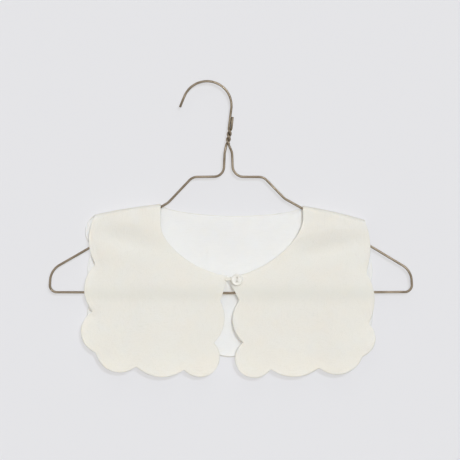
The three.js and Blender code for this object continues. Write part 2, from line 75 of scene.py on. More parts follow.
def newMaterial(name, color, roughness, metallic=0):
    material = bpy.data.materials.new(name)
    material.use_nodes = True
    shader = material.node_tree.nodes["Principled BSDF"]
    shader.inputs["Base Color"].default_value = (*color, 1)
    shader.inputs["Roughness"].default_value = roughness
    shader.inputs["Metallic"].default_value = metallic
    return material, material.node_tree, shader


def addNode(tree, kind, inputs=None, **settings):
    node = tree.nodes.new(kind)
    for key, value in settings.items():
        setattr(node, key, value)
    for key, value in (inputs or {}).items():
        if isinstance(value, bpy.types.NodeSocket):
            tree.links.new(value, node.inputs[key])
        else:
            node.inputs[key].default_value = value
    return node


def stretched(tree, source, scale):
    return addNode(tree, "ShaderNodeMapping", {"Vector": source, "Scale": scale}).outputs["Vector"]


def noiseOf(tree, source, scale, detail=2):
    node = addNode(tree, "ShaderNodeTexNoise", {"Vector": source, "Scale": scale, "Detail": detail})
    return node.outputs["Fac"]


def bumpOf(tree, height, depth, strength, before=None):
    node = addNode(tree, "ShaderNodeBump",
                   {"Height": height, "Distance": depth * mm, "Strength": strength})
    if before:
        tree.links.new(before, node.inputs["Normal"])
    return node.outputs["Normal"]


def blended(tree, share, first, second, low=0.0, high=1.0):  # two colours mixed by a share's range
    ranged = addNode(tree, "ShaderNodeMapRange", {"Value": share, "From Min": low, "From Max": high})
    node = addNode(tree, "ShaderNodeMix", data_type="RGBA")
    tree.links.new(ranged.outputs["Result"], node.inputs["Factor"])
    for key, color in (("A", first), ("B", second)):
        socket = next(s for s in node.inputs if s.name == key and s.type == "RGBA")
        if isinstance(color, bpy.types.NodeSocket):
            tree.links.new(color, socket)
        else:
            socket.default_value = (*color, 1)
    return next(s for s in node.outputs if s.type == "RGBA")


weave = {  # plain weave, in millimetres along the cloth; each relief is a depth and its strength
    "thread": 0.42,
    "wavePeriod": 0.314,  # of the wave texture at a scale of 1
    "waver": 0.4,
    "threadRelief": (0.05, 0.5),
    "slubAlong": (0.07, 1.6, 1),
    "slubAcross": (1.6, 0.07, 1),
    "slubRelief": (0.06, 0.6),
    "slubTint": (1.0, 1.6),
    "crumpleScale": 0.16,
    "crumpleRelief": (0.35, 0.5),
    "patchScale": 0.03,
    "patchTint": (0.35, 0.7),
    "roughness": 0.85,
    "gloss": 0.25,
    "sheen": 0.12,
    "seeThrough": 0.5,
    "lightReach": 2.0,
    "lightColor": (1.0, 0.92, 0.8),
}
cream = {
    "plain": (0.803, 0.794, 0.744),
    "warm": (0.812, 0.788, 0.728),
    "slub": (0.735, 0.72, 0.66),
    # painted shade: darker where the hanger's bar shows through the cloth
    "paintedBarShade": (0.70, 0.70, 0.645),
}
white = {
    "plain": (0.865, 0.867, 0.85),
    "warm": (0.85, 0.85, 0.835),
    "slub": (0.81, 0.812, 0.79),
    # painted shade: darker where the hanger's bar lies over the lining
    "paintedBarShade": (0.78, 0.78, 0.75),
}


def clothMaterial(name, colors):
    material, tree, shader = newMaterial(name, colors["plain"], weave["roughness"])
    shader.inputs["Sheen Weight"].default_value = weave["sheen"]
    shader.inputs["Specular IOR Level"].default_value = weave["gloss"]
    shader.inputs["Subsurface Weight"].default_value = weave["seeThrough"]
    shader.inputs["Subsurface Scale"].default_value = weave["lightReach"] * mm
    shader.inputs["Subsurface Radius"].default_value = weave["lightColor"]
    place = addNode(tree, "ShaderNodeAttribute", attribute_name="weave").outputs["Vector"]
    bands = {"Vector": place, "Scale": weave["wavePeriod"] / weave["thread"], "Distortion": weave["waver"]}
    warp = addNode(tree, "ShaderNodeTexWave", bands, bands_direction="X")
    weft = addNode(tree, "ShaderNodeTexWave", bands, bands_direction="Y")
    threads = addNode(tree, "ShaderNodeMath", {0: warp.outputs["Fac"], 1: weft.outputs["Fac"]},
                      operation="MAXIMUM")
    slubsAlong = noiseOf(tree, stretched(tree, place, weave["slubAlong"]), 1.0)
    slubsAcross = noiseOf(tree, stretched(tree, place, weave["slubAcross"]), 1.0)
    slubs = addNode(tree, "ShaderNodeMath", {0: slubsAlong, 1: slubsAcross}, operation="ADD")
    crumple = noiseOf(tree, place, weave["crumpleScale"], detail=3)
    normal = bumpOf(tree, threads.outputs["Value"], *weave["threadRelief"])
    normal = bumpOf(tree, slubs.outputs["Value"], *weave["slubRelief"], normal)
    normal = bumpOf(tree, crumple, *weave["crumpleRelief"], normal)
    tree.links.new(normal, shader.inputs["Normal"])
    patches = noiseOf(tree, place, weave["patchScale"])
    tint = blended(tree, patches, colors["plain"], colors["warm"], *weave["patchTint"])
    tint = blended(tree, slubs.outputs["Value"], tint, colors["slub"], *weave["slubTint"])
    # a band of painted shade along the bar's height, mixed into the cloth's colour
    paintedBarShade = addNode(tree, "ShaderNodeAttribute", attribute_name="paintedBarShade").outputs["Fac"]
    tint = blended(tree, paintedBarShade, tint, colors["paintedBarShade"])
    tree.links.new(tint, shader.inputs["Base Color"])
    return material


wireFinish = {
    "plain": (0.26, 0.21, 0.15),
    "dark": (0.19, 0.147, 0.096),
    "light": (0.31, 0.25, 0.178),
    "patchScale": 90,
    "patchTint": (0.3, 0.7),
    "metallic": 0.85,
    "roughness": 0.34,
    "polished": 0.26,
    "dulled": 0.46,
    "drawnScale": (900, 2600, 900),
    "relief": (0.02, 0.4),
}


def wireMaterial():
    material, tree, shader = newMaterial("bronzeWire", wireFinish["plain"], wireFinish["roughness"],
                                         wireFinish["metallic"])
    place = addNode(tree, "ShaderNodeTexCoord").outputs["Object"]
    patches = noiseOf(tree, place, wireFinish["patchScale"], detail=3)
    drawn = noiseOf(tree, stretched(tree, place, wireFinish["drawnScale"]), 1.0)
    tint = blended(tree, patches, wireFinish["dark"], wireFinish["light"], *wireFinish["patchTint"])
    tree.links.new(tint, shader.inputs["Base Color"])
    rough = addNode(tree, "ShaderNodeMapRange",
                    {"Value": drawn, "To Min": wireFinish["polished"], "To Max": wireFinish["dulled"]})
    tree.links.new(rough.outputs["Result"], shader.inputs["Roughness"])
    tree.links.new(bumpOf(tree, drawn, *wireFinish["relief"]), shader.inputs["Normal"])
    return material


pearl = {
    "plain": (0.80, 0.79, 0.75),
    "light": (0.82, 0.81, 0.77),
    "dark": (0.76, 0.745, 0.69),
    "swirlScale": (300, 300, 700),
    "swirlTint": (0.35, 0.75),
    "relief": (0.03, 0.3),
    "roughness": 0.28,
    "seeThrough": 0.15,
    "lightReach": (0.002, 0.0018, 0.0015),
}


def buttonMaterial():
    material, tree, shader = newMaterial("button", pearl["plain"], pearl["roughness"])
    shader.inputs["Subsurface Weight"].default_value = pearl["seeThrough"]
    shader.inputs["Subsurface Radius"].default_value = pearl["lightReach"]
    place = addNode(tree, "ShaderNodeTexCoord").outputs["Object"]
    swirl = noiseOf(tree, stretched(tree, place, pearl["swirlScale"]), 1.0, detail=3)
    tint = blended(tree, swirl, pearl["light"], pearl["dark"], *pearl["swirlTint"])
    tree.links.new(tint, shader.inputs["Base Color"])
    tree.links.new(bumpOf(tree, swirl, *pearl["relief"]), shader.inputs["Normal"])
    return material


yarn = {
    "plain": (0.83, 0.81, 0.74),
    "light": (0.84, 0.82, 0.76),
    "dark": (0.77, 0.74, 0.66),
    "fibreScale": 2600,
    "fibreTint": (0.35, 0.7),
    "relief": (0.03, 0.5),
    "roughness": 0.75,
    "sheen": 0.2,
}


def threadMaterial():
    material, tree, shader = newMaterial("creamThread", yarn["plain"], yarn["roughness"])
    shader.inputs["Sheen Weight"].default_value = yarn["sheen"]
    place = addNode(tree, "ShaderNodeTexCoord").outputs["Object"]
    fibre = noiseOf(tree, place, yarn["fibreScale"])
    tint = blended(tree, fibre, yarn["light"], yarn["dark"], *yarn["fibreTint"])
    tree.links.new(tint, shader.inputs["Base Color"])
    tree.links.new(bumpOf(tree, fibre, *yarn["relief"]), shader.inputs["Normal"])
    return material


creamCloth, whiteLining = clothMaterial("creamCloth", cream), clothMaterial("whiteLining", white)
bronzeWire, pearlButton, creamThread = wireMaterial(), buttonMaterial(), threadMaterial()
print("materials made")


def addPiece(name, mesh, slot, *materials):
    piece = addObject(name, mesh)
    for material in materials:
        mesh.materials.append(material)
    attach(piece, "root")
    return piece


tubeAngle = 50  # faces of a tube that meet at more than this keep a sharp edge


def tubeMesh(lines, radius, smoothness=5, cut=0.0):  # cut is the chamfer at both ends, in radii
    curve = bpy.data.curves.new("tube", "CURVE")
    curve.dimensions = "3D"
    curve.bevel_depth = radius * mm
    curve.bevel_resolution = smoothness
    curve.use_fill_caps = True
    for line in lines:
        spline = curve.splines.new("POLY")
        spline.points.add(len(line) - 1)
        for point, place in zip(spline.points, line):
            point.co = (*(place * mm), 1)
        if cut:
            spline.points[0].radius = spline.points[-1].radius = 1 - cut
    shaper = addObject("tube", curve)
    mesh = shapedMesh(shaper)
    bpy.data.objects.remove(shaper)
    bpy.data.curves.remove(curve)
    mesh.shade_smooth()
    mesh.set_sharp_from_angle(angle=radians(tubeAngle))
    return mesh


hanger = {
    "wire": 2.4,
    "width": 361,
    "height": 210.6,
    "hookRadius": 24.5,
    "hookTip": 11.5,
    "hookEnd": 158,
    "shaftLean": 6.5,
    "shaftSet": 0.7,
    "twistDrop": 46,
    "twistLength": 16.5,
    "halfTurns": 3,
    "turnSteps": 20,
    "strandGap": 0.15,
    "neckTop": -0.004,
    "neckFoot": -0.018,
    "stub": 11.5,
    "bend": 10,
    "arcStep": 0.06,
    "cornerRoom": 0.45,  # the most that an arc takes of the run beside it
    "cut": 0.3,
    "cutDepth": 0.25,  # of the wire's radius
    "bends": [  # across and down as shares of half the width and the height, bend of the usual bend
        (-0.034, 0.335, 1.6),
        (-0.04, 0.447, 1.0),
        (-0.212, 0.449, 1.1),
        (-0.348, 0.572, 1.6),
        (-0.997, 0.891, 2.1),
        (-1.005, 0.996, 0.7),
        (0, 1.0, 6),
        (1.006, 0.995, 0.7),
        (0.998, 0.893, 2.1),
        (0.771, 0.776, 4),
        (0.298, 0.552, 1.6),
        (0.181, 0.449, 1.1),
        (0.012, 0.448, 1.1),
        (0.007, 0.333, 1.2),
    ],
}
wireRadius = hanger["wire"] / 2
hangerMiddle = hanger["hookRadius"] - hanger["shaftSet"]


def onHanger(across, down):
    return Vector((hangerMiddle + across * hanger["width"] / 2, 0, -down * hanger["height"]))


def rounded(corners, arcStep):  # straight runs joined by an arc of the radius at each corner
    line = []
    for index, (at, radius) in enumerate(corners):
        if not radius or index in (0, len(corners) - 1):
            line.append(at.copy())
            continue
        arriving, leaving = at - corners[index - 1][0], corners[index + 1][0] - at
        room = hanger["cornerRoom"] * min(arriving.length, leaving.length)
        arriving.normalize()
        leaving.normalize()
        turn = arriving.angle(leaving)
        reach = min(radius * tan(turn / 2), room)
        arc = reach / tan(turn / 2)
        inward = (leaving - arriving * cos(turn)).normalized()
        start = at - arriving * reach
        steps = max(1, ceil(turn / arcStep))
        for step in range(steps + 1):
            angle = turn * step / steps
            line.append(start + arriving * arc * sin(angle) + inward * arc * (1 - cos(angle)))
    return line


def hookLine():
    middle = Vector((0, 0, wireRadius - hanger["hookRadius"]))
    first, last = radians(hanger["hookEnd"]), radians(-hanger["shaftLean"])
    steps = ceil((first - last) / hanger["arcStep"])
    angles = [*between(first, last, steps), last]
    line = [middle + hanger["hookRadius"] * Vector((cos(angle), 0, sin(angle))) for angle in angles]
    along = Vector((-sin(first), 0, cos(first)))
    tip = line[0] + along * hanger["hookTip"]
    return [tip, tip - along * hanger["cut"], *line]


def twistedStrand(phase):  # phase 0 starts on the left, and half a turn on the right
    top = Vector((hangerMiddle + hanger["neckTop"] * hanger["width"] / 2, 0, -hanger["twistDrop"]))
    foot = top + Vector(((hanger["neckFoot"] - hanger["neckTop"]) * hanger["width"] / 2, 0,
                         -hanger["twistLength"]))
    reach = (hanger["wire"] + hanger["strandGap"]) / 2
    steps = hanger["turnSteps"] * hanger["halfTurns"]
    line = []
    for step in range(steps + 1):
        angle = pi * (phase + hanger["halfTurns"] * step / steps)
        line.append(top.lerp(foot, step / steps) - reach * Vector((cos(angle), sin(angle), 0)))
    return line


def makeHanger():
    shaft, stub = twistedStrand(0), twistedStrand(1)[::-1]
    cut = hanger["cut"] / hanger["stub"]
    end = stub[-1] + hanger["stub"] * Vector((sin(radians(hanger["shaftLean"])), 0, 1))
    bends = [(onHanger(across, down), bend * hanger["bend"]) for across, down, bend in hanger["bends"]]
    loop = rounded([(shaft[-1], 0), *bends[::-1], (stub[0], 0)], hanger["arcStep"])
    line = [*hookLine(), *shaft[:-1], *loop, *stub[1:], end.lerp(stub[-1], cut), end]
    mesh = tubeMesh([line], wireRadius, cut=hanger["cutDepth"])
    piece = addPiece("hangerWire", mesh, "hanger_wire", bronzeWire)
    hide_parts("hanger")


makeHanger()
print("hanger bent from one wire")

collar = {
    "width": 272,
    "shift": -0.8,
    "neck": 142,
    "frontDrop": 164,
    "backDrop": 143,
    "backNeck": 10.5,
    "fall": 12.4,
    "crown": 1.2,
    "scallop": 9,
    "frontSquare": 1.6,  # power of the neckline's squared ellipse, 2 for a round one
    "backSquare": 1.8,
    "wall": 1.2,
    "lining": 1.0,
    "layerGap": 0.3,
    "gap": 0.3,
    "ease": 2.0,
    "foldHeight": 4.5,
    "foldOut": 0.989,  # end of the fold, of half the width
    "creaseTall": 0.036,  # of the crease over the bar, of the front's drop
    "creasePush": 0.28,  # of the ease
    "barShadeTall": 8,  # of the band of painted shade along the bar's height, where the dark bar shows through the cloth
    # how dark the band of painted shade over the bar gets
    "barShadeDepth": 0.45,
    "sideEnd": 2.3,  # where the side starts to turn into the hem, in scallops
    "hemStart": 4,
    "bowPower": 1.5,
    "bunching": 0.115,  # of the rows of faces towards both ends
}
shoulders = {  # arm names the two bends of the hanger that carry the shoulder
    -1: {"neck": 0.975, "fall": 0.85, "straight": 0.3, "arm": (3, 4)},
    1: {"neck": 1.024, "fall": 1.15, "straight": 0.19, "arm": (10, 9)},
}
sewing = {  # relief of the sewn cloth
    "seamWidth": 4.8,
    "seamBlend": 0.6,
    "seamRise": 0.1,
    "pucker": 0.14,
    "puckerSize": 2.6,
    "puckerReach": 3.4,
    "soft": 0.45,
    "softSize": 36,
    "rumple": 0.14,
    "rumpleSize": 12,
    "foldFree": 2,  # no seam this close to the fold
    "foldCalm": 14,  # from the fold to where the rumples have their full height
    "buttonCalm": 7,  # from the button's middle, where nothing stands proud under it
    "buttonBlend": 2.5,
}
collarMiddle = hangerMiddle + collar["shift"]
halfCollar = collar["width"] / 2
frontDepth = wireRadius + collar["gap"] + collar["ease"] + collar["wall"] / 2
backDepth = frontDepth + collar["lining"] + collar["layerGap"]


def neckCorner(side):
    shoulder = shoulders[side]
    x = collarMiddle + side * shoulder["neck"] * collar["neck"] / 2
    first, second = (onHanger(*hanger["bends"][index][:2]) for index in shoulder["arm"])
    slope = (second.z - first.z) / (second.x - first.x)
    above = (wireRadius + collar["gap"] + collar["wall"] / 2) * hypot(1, slope)
    return x, first.z + slope * (x - first.x) + above


neckCorners = {side: neckCorner(side) for side in shoulders}
collarTop = (neckCorners[-1][1] + neckCorners[1][1]) / 2


def foldLine(x):
    (leftX, leftZ), (rightX, rightZ) = neckCorners[-1], neckCorners[1]
    if leftX < x < rightX:
        return leftZ + (rightZ - leftZ) * (x - leftX) / (rightX - leftX)
    side = -1 if x <= leftX else 1
    neckX, neckZ = neckCorners[side]
    way = (x - neckX) / (collarMiddle + side * collar["foldOut"] * halfCollar - neckX)
    crown = 4 * collar["crown"] * max(0, way * (1 - way))
    return neckZ - shoulders[side]["fall"] * collar["fall"] * way + crown


def makeLayer(facing, depth, drop, folds, seed):
    arc = pi / 4 * (depth + collar["foldHeight"])
    return {"facing": facing, "depth": depth, "drop": drop, "folds": folds, "arc": arc, "seed": seed}


def bell(distance, width):
    return exp(-((distance / width) ** 2))


def swell(layer, x, z):
    push = collar["creasePush"] * bell(z + hanger["height"], collar["creaseTall"] * collar["frontDrop"])
    for side, out, down, wide, tall, amount, slant in layer["folds"]:
        across = x - (collarMiddle + side * out * halfCollar)
        up = z - (collarTop - down * layer["drop"]) + side * slant * across
        push += amount * bell(across, wide * halfCollar) * bell(up, tall * layer["drop"])
    return push * collar["ease"]


def bendCloth(layer, x, run):  # run is the way down the cloth from the fold
    turn = pi / 2 * min(run / layer["arc"], 1)
    z = foldLine(x) - collar["foldHeight"] * (1 - cos(turn)) - max(0, run - layer["arc"])
    out = layer["depth"] * sin(turn)
    out += swell(layer, x, z) * smooth(run, layer["arc"] / 2, 3 * layer["arc"])
    return Vector((x, layer["facing"] * out, z))


def liftCloth(layer, x, run, lift):
    nudge = 0.05  # far enough to find the cloth's slope
    point = bendCloth(layer, x, run)
    across = bendCloth(layer, x + nudge, run) - point
    along = bendCloth(layer, x, run + nudge) - point
    return point + across.cross(along).normalized() * layer["facing"] * lift


def placeOn(layer, x, down):  # from a height below the collar's top to a place on the cloth
    drop = max(0, foldLine(x) - (collarTop - down))
    if drop > collar["foldHeight"]:
        return Vector((x, layer["arc"] + drop - collar["foldHeight"]))
    turn = acos(1 - drop / collar["foldHeight"])
    return Vector((x, max(layer["arc"] * turn / (pi / 2), collar["gap"] / 2)))


def valleysOf(rows, side, drop):
    valleys = []
    for out, down, bulge in rows:
        x = collarMiddle + side * out * halfCollar
        below = collarTop - foldLine(x) if down is None else down * drop
        valleys.append((Vector((x, below)), bulge * collar["scallop"]))
    return valleys


def scallopEdge(layer, valleys, turn):  # a round scallop from each valley to the next
    def edge(count):
        index = min(int(count), len(valleys) - 2)
        (start, bulge), (end, _) = valleys[index], valleys[index + 1]
        share = count - index
        run = end - start
        point = start + run * share
        if bulge:
            half = 2 * atan2(bulge, run.length / 2)
            radius = run.length / 2 / sin(half)
            angle = (2 * share - 1) * half
            outward = Vector((turn * run.y, -turn * run.x)).normalized()
            point = (start + end) / 2 + run.normalized() * radius * sin(angle)
            point += outward * radius * (cos(angle) - cos(half))
        return placeOn(layer, *point)
    return edge


def bunched(share):  # closer together at both ends
    return share - collar["bunching"] * sin(2 * pi * share)


def wayOut(side, count):  # out of the collar: across at its side and down along its hem
    turn = pi / 2 * smooth(count, collar["sideEnd"], collar["hemStart"])
    return Vector((side * cos(turn), sin(turn)))


def columnPlace(neck, edge, way, down):  # a column that arrives at the edge along the way out
    place = neck.lerp(edge, down)
    if way:
        bow = down ** collar["bowPower"] * (1 - down)
        place += bow * (edge - neck - (edge - neck).length * way)
    return place


def makePanel(name, layer, inner, outer, start, end, shares, middle, ways=None, buttonSpot=None):
    columns, rows = len(inner) - 1, len(shares) - 1
    bm = bmesh.new()
    bmesh.ops.create_grid(bm, x_segments=columns, y_segments=rows, size=0.5)
    bm.verts.ensure_lookup_table()
    flat = []
    for vertex in bm.verts:
        i = round((vertex.co.x + 0.5) * columns)
        j = round((vertex.co.y + 0.5) * rows)
        across, down = i / columns, shares[j]
        place = columnPlace(inner[i], outer[i], ways and ways[i], down)
        first = columnPlace(inner[0], outer[0], ways and ways[0], down)
        last = columnPlace(inner[-1], outer[-1], ways and ways[-1], down)
        flat.append(place + (1 - across) * (start[j] - first) + across * (end[j] - last))
    seams = kdtree.KDTree(len(bm.verts))  # the edge of the panel, without the fold
    for vertex in bm.verts:
        if vertex.is_boundary and flat[vertex.index].y > sewing["foldFree"]:
            seams.insert((*flat[vertex.index], 0), vertex.index)
    seams.balance()
    weaveLayer = bm.verts.layers.float_vector.new("weave")
    # per vertex, how much of the painted shade of the bar it takes
    paintedBarShadeLayer = bm.verts.layers.float.new("paintedBarShade")
    for vertex, (x, run) in zip(bm.verts, flat):
        edge = seams.find((x, run, 0))[2]
        lift = reliefOf(layer, x, run, edge)
        if buttonSpot:
            away = (Vector((x, run)) - buttonSpot).length
            lift *= smooth(away, sewing["buttonCalm"], sewing["buttonBlend"] * sewing["buttonCalm"])
        vertex[weaveLayer] = (x, run, edge)
        vertex.co = liftCloth(layer, x, run, middle + lift) * mm
        aboveBar = vertex.co.z / mm + hanger["height"]
        vertex[paintedBarShadeLayer] = collar["barShadeDepth"] * bell(aboveBar, collar["barShadeTall"])
    bm.normal_update()
    area = sum(face.calc_area() for face in bm.faces)
    if sum(face.normal.y * face.calc_area() for face in bm.faces) * layer["facing"] < 0:
        bmesh.ops.reverse_faces(bm, faces=bm.faces)
    mesh = meshOf(bm, name)
    mesh.shade_smooth()
    xs, runs = [x for x, _ in flat], [run for _, run in flat]
    size = (round((max(xs) - min(xs)) * mm, 4), round((max(runs) - min(runs)) * mm, 4))
    return mesh, size, round(area, 5)


def reliefOf(layer, x, run, edge):
    place = Vector((x, run, layer["seed"]))
    fade = smooth(run, 0, sewing["foldCalm"])
    lift = sewing["soft"] * noise.noise(place / sewing["softSize"]) * fade
    lift += sewing["rumple"] * noise.noise(place / sewing["rumpleSize"]) * fade
    seam, blend = sewing["seamWidth"], sewing["seamBlend"]
    lift += sewing["seamRise"] * (1 - smooth(edge, seam - blend, seam + blend))
    lift += sewing["pucker"] * noise.noise(place / sewing["puckerSize"]) * bell(edge, sewing["puckerReach"])
    return lift


def finishPanel(piece, thickness, innerMaterial=0):
    wall = piece.modifiers.new("wall", "SOLIDIFY")
    wall.thickness = thickness * mm
    wall.offset = 0
    wall.material_offset = innerMaterial
    soften = piece.modifiers.new("soften", "SUBSURF")
    soften.levels = soften.render_levels = 1


frontFolds = [  # side, out, down, wide, tall, push as a share of the ease, slant
    (-1, 0.7, 0.228, 0.26, 0.062, -1.0, -0.25),
    (-1, 0.7, 0.105, 0.26, 0.055, 0.5, -0.25),
    (1, 0.7, 0.268, 0.28, 0.056, -1.6, -0.21),
    (1, 0.7, 0.146, 0.28, 0.055, 0.8, -0.21),
    (-1, 1.0, 0.34, 0.07, 0.08, -0.9, 0),
    (-1, 1.02, 0.66, 0.07, 0.05, -0.9, 0),
    (1, 1.0, 0.4, 0.07, 0.07, -0.9, 0),
    (1, 1.02, 0.72, 0.07, 0.08, -0.7, 0),
    (1, 0.52, 0.225, 0.1, 0.02, -0.35, -0.35),
    (-1, 0.5, 0.98, 0.2, 0.3, 0.9, 0),
    (1, 0.85, 0.9, 0.16, 0.3, 1.1, 0),
    (1, 0.35, 1.0, 0.16, 0.22, 0.8, 0),
    (-1, 0.95, 0.8, 0.14, 0.3, 0.8, 0),
]
frontLayer = makeLayer(-1, frontDepth, collar["frontDrop"], frontFolds, seed=11)
fronts = {  # out, down and bulge of each valley and the scallop after it, and the steps between them
    "foldSteps": 22,
    "scallopSteps": 16,
    "cornerSteps": 16,
    "openingScallops": 3,
    "packing": 1.8,
    "rows": 46,
    "neckRows": 12,
    "middleRows": 26,
    "left": [
        (0.989, None, 0.74),
        (0.989, 0.36, 1.1),
        (1.008, 0.646, 1.5),
        (0.985, 0.897, 1.4),
        (0.689, 0.98, 1.0),
        (0.338, 1.002, 2.35),
        (0.118, 0.836, 0.85),
        (0.074, 0.577, 0.1),
        (0.018, 0.425, 0),
    ],
    "right": [
        (0.989, None, 0.55),
        (1.0, 0.41, 0.8),
        (1.017, 0.72, 1.1),
        (0.974, 0.919, 1.35),
        (0.654, 0.989, 0.95),
        (0.3, 0.997, 2.6),
        (0.098, 0.833, 1.0),
        (0.071, 0.577, 0.1),
        (-0.011, 0.434, 0),
    ],
}


def frontNeckline(layer, side, corner):  # plumb from the fold, then a squared quarter ellipse
    topX, topZ = neckCorners[side]
    start = collarTop - topZ
    depth = corner.y - start
    straight = shoulders[side]["straight"] * depth
    length = straight + hypot(corner.x - topX, depth - straight)
    power = 2 / collar["frontSquare"]

    def neckline(share):
        way = share * length
        if way < straight:
            return placeOn(layer, topX, start + way)
        angle = pi / 2 * min((way - straight) / (length - straight), 1)
        x = corner.x + (topX - corner.x) * max(cos(angle), 0) ** power
        return placeOn(layer, x, start + straight + (depth - straight) * sin(angle) ** power)
    return neckline


def makeFront(name, side, rows, node):
    valleys = valleysOf(rows, side, collar["frontDrop"])
    edge = scallopEdge(frontLayer, valleys, side)
    last = len(valleys) - 1
    lastHem = last - fronts["openingScallops"]
    corner = lastHem + 0.5  # the crest of the scallop at the hem's inner corner
    neckline = frontNeckline(frontLayer, side, valleys[-1][0])
    fold = [share ** fronts["packing"] for share in between(0, 1, fronts["foldSteps"])]
    hem = between(1, lastHem, fronts["scallopSteps"] * (lastHem - 1))
    counts = [*fold, *hem, *between(lastHem, corner, fronts["cornerSteps"]), corner]
    shares = [bunched(row / fronts["rows"]) for row in range(fronts["rows"] + 1)]
    stops = [(0, last), (fronts["neckRows"], last - 1), (fronts["middleRows"], last - 2),
             (fronts["rows"], corner)]
    opening = []
    for (firstRow, first), (lastRow, second) in zip(stops, stops[1:]):
        opening += between(first, second, lastRow - firstRow)
    inner = [neckline(count / corner) for count in counts]
    outer = [edge(count) for count in counts]
    start = [inner[0].lerp(outer[0], share) for share in shares]
    end = [edge(count) for count in [*opening, corner]]
    low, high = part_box("button")
    middle = (low + high) / 2 / mm
    buttonSpot = placeOn(frontLayer, middle.x, collarTop - middle.z)
    ways = [wayOut(side, count) for count in counts]
    mesh, size, area = makePanel(name, frontLayer, inner, outer, start, end, shares, 0, ways, buttonSpot)
    piece = addPiece(name, mesh, "cream_cloth", creamCloth, whiteLining)
    finishPanel(piece, collar["wall"], 1)
    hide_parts(node)
    print(name, "cut", size, "area", area)


button = {
    "profile": [  # from the flat of the back round the rim to the flat of the face
        (4.9, 0), (5.55, -0.18), (5.9, -0.6), (6.0, -1.1), (5.9, -1.6), (5.6, -2.0), (5.15, -2.2),
        (4.75, -2.12), (4.4, -1.85), (4.05, -1.66), (3.5, -1.6),
    ],
    "steps": 64,
    "edgeAngle": 40,
    "hole": 2.0,
    "holeSpacing": 3.6,
    "holeSteps": 28,
    "holeEdge": 0.14,
    "holeRim": [(0, 1), (0.134, 0.5), (0.5, 0.134), (1.5, -0.134)],  # out and deep, in hole edges
    "drillReach": 4,
}
thread = {
    "thickness": 0.5,  # of its solid's thickness
    "loop": 1.5,  # of its solid's thickness
    "neckRise": 0.8,
    "neckSpread": 1.7,  # of a ply
    "plies": 2,
    "turn": 1.6,
    "step": 0.12,
    "bend": 0.5,
    "arcStep": 0.2,
    "loopSteps": 24,
    "smoothness": 3,
}


def buttonPlace():
    low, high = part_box("button")
    return Vector(((low.x + high.x) / 2, high.y, (low.z + high.z) / 2)) / mm


def makeButton():
    bm = bmesh.new()
    turnedSolid(bm, button["profile"], button["steps"])
    piece = addPiece("shirtButton", meshOf(bm, "button"), "button", pearlButton)
    drill = addObject("drill", drillMesh())
    holes = piece.modifiers.new("holes", "BOOLEAN")
    holes.operation, holes.object, holes.solver = "DIFFERENCE", drill, "EXACT"
    piece.data = shapedMesh(piece)
    piece.modifiers.remove(holes)
    bpy.data.objects.remove(drill)
    piece.data.shade_smooth()
    piece.data.set_sharp_from_angle(angle=radians(button["edgeAngle"]))
    piece.data.transform(Matrix.Translation(buttonPlace() * mm))
    even = piece.modifiers.new("even", "WEIGHTED_NORMAL")  # keeps the shading even round the holes
    even.weight, even.keep_sharp = 100, True
    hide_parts("button")
    return piece


def turnedSolid(bm, profile, steps, up=0):  # turned round an axis that runs front to back
    places = [bm.verts.new((r * mm, y * mm, up * mm)) for r, y in profile]
    edges = [bm.edges.new(pair) for pair in zip(places, places[1:])]
    bmesh.ops.spin(bm, geom=[*places, *edges], cent=(0, 0, up * mm), axis=(0, 1, 0), angle=2 * pi,
                   steps=steps, use_merge=True)
    bmesh.ops.remove_doubles(bm, verts=bm.verts, dist=1e-6)
    bmesh.ops.holes_fill(bm, edges=[edge for edge in bm.edges if edge.is_boundary], sides=0)
    bmesh.ops.recalc_face_normals(bm, faces=bm.faces)


def drillMesh():  # two drills that round the rims of the holes as they cut
    radius, edge, face = button["hole"] / 2, button["holeEdge"], button["profile"][-1][1]
    rim = [(radius + out * edge, face + deep * edge) for out, deep in button["holeRim"]]
    reach = button["drillReach"]
    profile = [(radius, reach), *rim, (rim[-1][0], -reach)]
    bm = bmesh.new()
    for up in (-1, 1):
        turnedSolid(bm, profile, button["holeSteps"], up * button["holeSpacing"] / 2)
    return meshOf(bm, "drill")


def evenly(line, step):  # the same line in even steps
    points, left = [line[0].copy()], step
    for first, second in zip(line, line[1:]):
        run = (second - first).length
        while left <= run:
            points.append(first.lerp(second, left / run))
            left += step
        left -= run
    points.append(line[-1].copy())
    return points


def plied(line, spread):  # the plies of a twisted thread that follows a line
    points = evenly(line, thread["step"])
    plies = [[] for _ in range(thread["plies"])]
    normal = None
    for index, point in enumerate(points):
        along = (points[min(index + 1, len(points) - 1)] - points[max(index - 1, 0)]).normalized()
        if normal is None:
            normal = along.orthogonal().normalized()
        normal = (normal - along * normal.dot(along)).normalized()
        other = along.cross(normal)
        for ply, strand in enumerate(plies):
            angle = 2 * pi * (index * thread["step"] / thread["turn"] + ply / thread["plies"])
            strand.append(point + (normal * cos(angle) + other * sin(angle)) * spread)
    return plies


def makeThread():
    low, high = (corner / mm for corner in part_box("button_thread"))
    middle = (low + high) / 2
    half = button["holeSpacing"] / 2
    ply = thread["thickness"] * (high.x - low.x) / 2 / thread["plies"]
    face = buttonPlace().y + button["profile"][-1][1] - 2 * ply
    corners = []
    for y, up, bend in ((high.y, 1, 0), (face, 1, 1), (face, -1, 1), (high.y, -1, 0)):
        corners.append((Vector((middle.x, y, middle.z + up * half)), bend * thread["bend"]))
    mesh = tubeMesh(plied(rounded(corners, thread["arcStep"]), ply), ply, thread["smoothness"])
    piece = addPiece("buttonThread", mesh, "cream_thread", creamThread)
    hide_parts("button_thread")
    return piece


